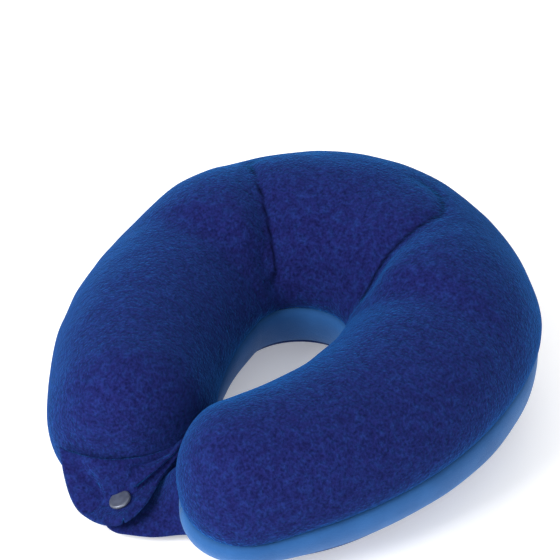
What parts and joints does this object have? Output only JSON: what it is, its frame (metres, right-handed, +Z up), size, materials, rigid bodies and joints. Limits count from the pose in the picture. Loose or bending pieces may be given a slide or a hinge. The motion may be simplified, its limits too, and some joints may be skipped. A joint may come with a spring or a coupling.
{
  "type": "u-shaped neck pillow",
  "caption": "U shaped travel neck pillow: foam core in a sewn two-tone cover with a zip round the back and a snap flap closing the arms",
  "frame": {"origin": "middle of the footprint on the surface the pillow lies on", "axes": "+Z up, +Y towards the back of the neck, opening between the arms faces -Y, X across"},
  "size_m": [0.268, 0.3038, 0.108],
  "materials": {
    "fleece": "napped fleece, deep navy",
    "knit": "smooth knit, mid blue",
    "base_knit": "smooth knit, navy",
    "liner": "thin white knit",
    "foam": "open cell foam, matt",
    "zip_tape": "woven",
    "zip_teeth": "moulded, satin",
    "zip_metal": "satin enamel",
    "closure_fleece": "napped fleece, deep navy",
    "closure_knit": "smooth knit, navy",
    "snap_cap_metal": "gunmetal, satin",
    "snap_metal": "plain"
  },
  "bodies": {
    "cushion": {"neck_panel": "fleece", "left_arm_panel": "fleece", "right_arm_panel": "fleece", "left_end_panel": "fleece", "right_end_panel": "fleece", "outer_band": "knit", "inner_band": "knit", "bottom_panel": "base_knit", "foam_liner": "liner", "foam_core": "foam", "zipper_tape_upper": "zip_tape", "zipper_tape_lower": "zip_tape", "zipper_teeth_upper": "zip_teeth", "zipper_teeth_lower": "zip_teeth", "zipper_top_stop": "zip_metal", "zipper_bottom_stop": "zip_metal"},
    "flap": {"flap_face": "closure_fleece", "flap_lining": "closure_knit", "snap_cap": "snap_cap_metal", "snap_socket": "snap_metal"},
    "tab": {"tab_face": "closure_fleece", "tab_lining": "closure_knit", "snap_stud": "snap_metal", "snap_post": "snap_metal"},
    "slider": {"zipper_slider": "zip_metal"},
    "pull": {"zipper_pull": "zip_metal"}
  },
  "joints": [
    {"name": "flap_lift", "type": "hinge", "parent": "cushion", "child": "flap", "pos_m": [-0.0346, -0.12223, 0.03725], "axis": [-0.8074, -0.59, 0], "range_deg": [0, 120]},
    {"name": "tab_flex", "type": "hinge", "parent": "cushion", "child": "tab", "pos_m": [0.00769, -0.12368, 0.0115], "axis": [-0.658, 0.753, 0], "range_deg": [-12, 0]},
    {"name": "slider_travel", "type": "hinge", "parent": "cushion", "child": "slider", "pos_m": [0, 0.01472, 0.03], "axis": [0, 0, 1], "range_deg": [0, 86]},
    {"name": "pull_swing", "type": "hinge", "parent": "slider", "child": "pull", "pos_m": [0.09541, 0.11703, 0.03], "axis": [0, 0, 1], "range_deg": [0, 170]}
  ]
}
